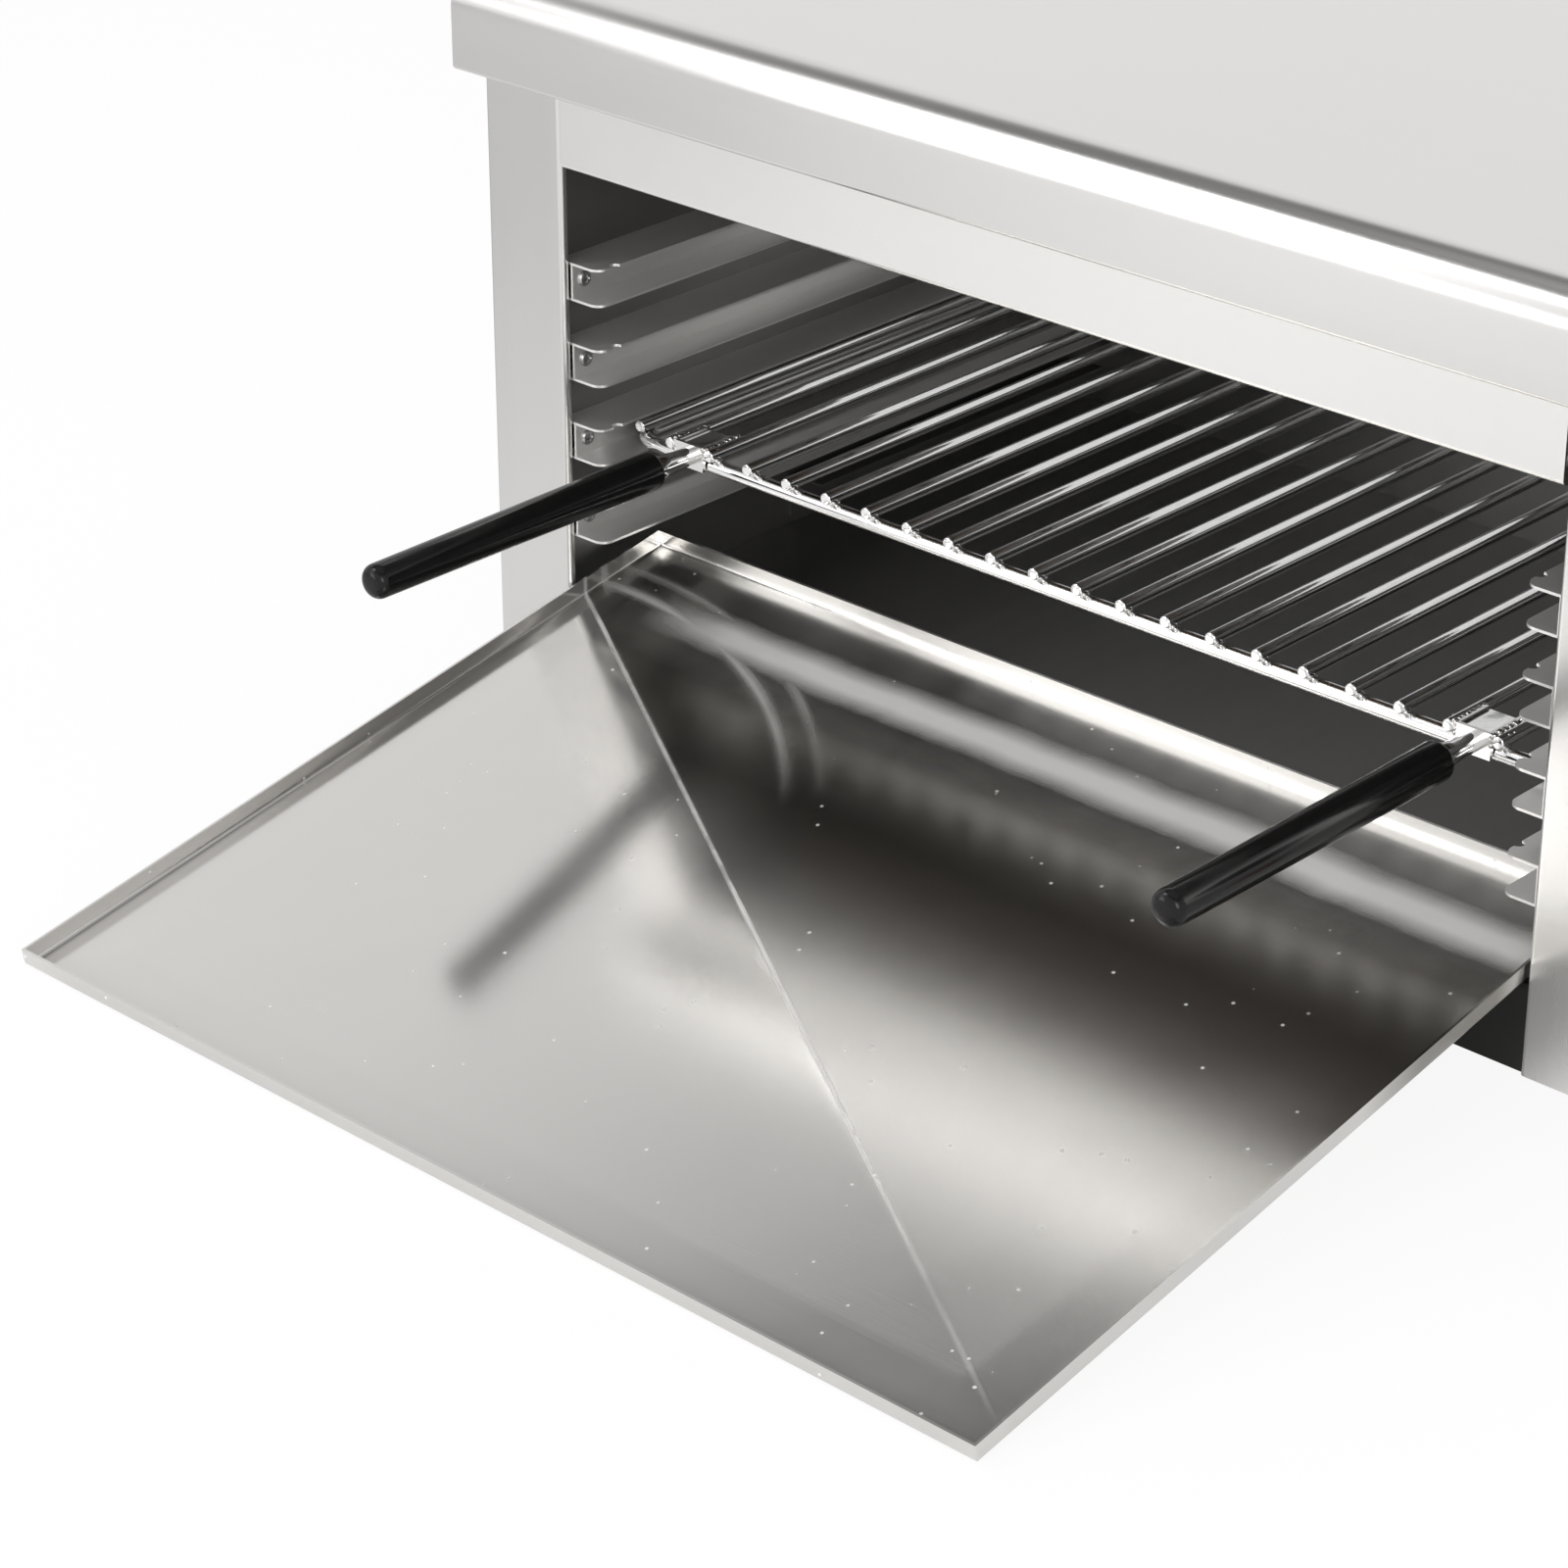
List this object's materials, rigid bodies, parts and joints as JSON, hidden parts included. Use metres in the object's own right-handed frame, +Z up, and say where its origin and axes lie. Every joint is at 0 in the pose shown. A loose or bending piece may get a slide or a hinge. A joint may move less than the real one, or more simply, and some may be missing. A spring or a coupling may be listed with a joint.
{
  "type": "salamander grill",
  "caption": "Open-front countertop salamander grill: folded steel case with bullnose hood, side rails, sliding wire rack with black grips and a drip tray drawn out and tipped down.",
  "frame": {"origin": "on the worktop, under the middle of the whole outline as it stands with the tray drawn out", "axes": "+X to the right as seen from the front, +Y to the back, +Z up"},
  "size_m": [0.617, 0.635, 0.3],
  "materials": {
    "casing_steel": "satin stainless sheet",
    "hood_steel": "satin stainless sheet, bright bullnose",
    "panel_steel": "satin stainless sheet",
    "dark_panel": "shaded stainless sheet",
    "cavity_steel": "heat-dulled stainless sheet",
    "rail_steel": "plain folded sheet",
    "screw_steel": "plated screw",
    "rack_chrome": "polished rod",
    "bracket_steel": "polished plate",
    "grip_black": "glossy black moulding",
    "tray_steel": "satin stainless sheet, a little wavy",
    "element_sheath": "heat-oxidised sheath",
    "hanger_steel": "heat-dulled strip",
    "insulator_white": "white glazed ceramic",
    "dial_print": "satin plate with printed marks",
    "knob_black": "black moulding",
    "shaft_steel": "turned rod",
    "stat_plastic": "moulded body",
    "bulb_copper": "drawn copper",
    "lamp_green": "clear green lens",
    "lamp_amber": "clear amber lens",
    "bezel_chrome": "bright ring",
    "switch_black": "black moulding",
    "rocker_red": "glossy red rocker",
    "block_white": "moulded block",
    "gland_black": "black nylon",
    "lead_silicone": "silicone insulation",
    "foot_rubber": "black rubber"
  },
  "bodies": {
    "cabinet": {"base_panel": "casing_steel", "left_side_shell": "casing_steel", "right_side_shell": "casing_steel", "back_panel": "casing_steel", "top_hood": "hood_steel", "hood_left_end": "hood_steel", "hood_right_end": "hood_steel", "front_fascia": "panel_steel", "lower_front_panel": "dark_panel", "control_panel": "panel_steel", "cavity_left_liner": "cavity_steel", "cavity_right_liner": "cavity_steel", "cavity_back_liner": "cavity_steel", "cavity_ceiling": "cavity_steel", "cavity_floor": "cavity_steel", "left_rail_screws": "screw_steel", "right_rail_screws": "screw_steel", "left_tray_ledge": "rail_steel", "right_tray_ledge": "rail_steel", "front_heating_element": "element_sheath", "rear_heating_element": "element_sheath", "element_hangers": "hanger_steel", "element_insulators": "insulator_white", "thermostat_body": "stat_plastic", "thermostat_bulb": "bulb_copper", "bulb_clips": "hanger_steel", "dial_plate": "dial_print", "power_lamp": "lamp_green", "heat_lamp": "lamp_amber", "lamp_bezels": "bezel_chrome", "power_switch_housing": "switch_black", "terminal_block": "block_white", "internal_leads": "lead_silicone", "cable_gland": "gland_black", "feet": "foot_rubber", "foot_screws": "screw_steel", "base_front_screws": "screw_steel", "hood_screws": "screw_steel", "back_screws": "screw_steel", "panel_screws": "screw_steel", "left_rail_1": "rail_steel", "left_rail_2": "rail_steel", "left_rail_3": "rail_steel", "left_rail_4": "rail_steel", "right_rail_1": "rail_steel", "right_rail_2": "rail_steel", "right_rail_3": "rail_steel", "right_rail_4": "rail_steel"},
    "rack": {"rack_frame": "rack_chrome", "rack_rods": "rack_chrome", "left_handle_bracket": "bracket_steel", "right_handle_bracket": "bracket_steel", "left_handle_stub": "rack_chrome", "right_handle_stub": "rack_chrome", "left_grip": "grip_black", "right_grip": "grip_black"},
    "tray": {"drip_tray": "tray_steel"},
    "knob": {"temperature_knob": "knob_black", "thermostat_shaft": "shaft_steel"},
    "rocker": {"power_switch_rocker": "rocker_red"}
  },
  "joints": [
    {"name": "rack_slide", "type": "slide", "parent": "cabinet", "child": "rack", "axis": [0, -1, 0], "range_m": [0, 0.2]},
    {"name": "tray_draw", "type": "hinge", "parent": "cabinet", "child": "tray", "pos_m": [-0.04, 0.18048, -1.4058], "axis": [-1, 0, 0], "range_deg": [0, 10.5]},
    {"name": "knob_turn", "type": "hinge", "parent": "cabinet", "child": "knob", "pos_m": [0.245, -0.04152, 0.1675], "axis": [0, 1, 0], "range_deg": [0, 270]},
    {"name": "rocker_tip", "type": "hinge", "parent": "cabinet", "child": "rocker", "pos_m": [0.245, -0.04152, 0.0955], "axis": [1, 0, 0], "range_deg": [0, 14]}
  ]
}
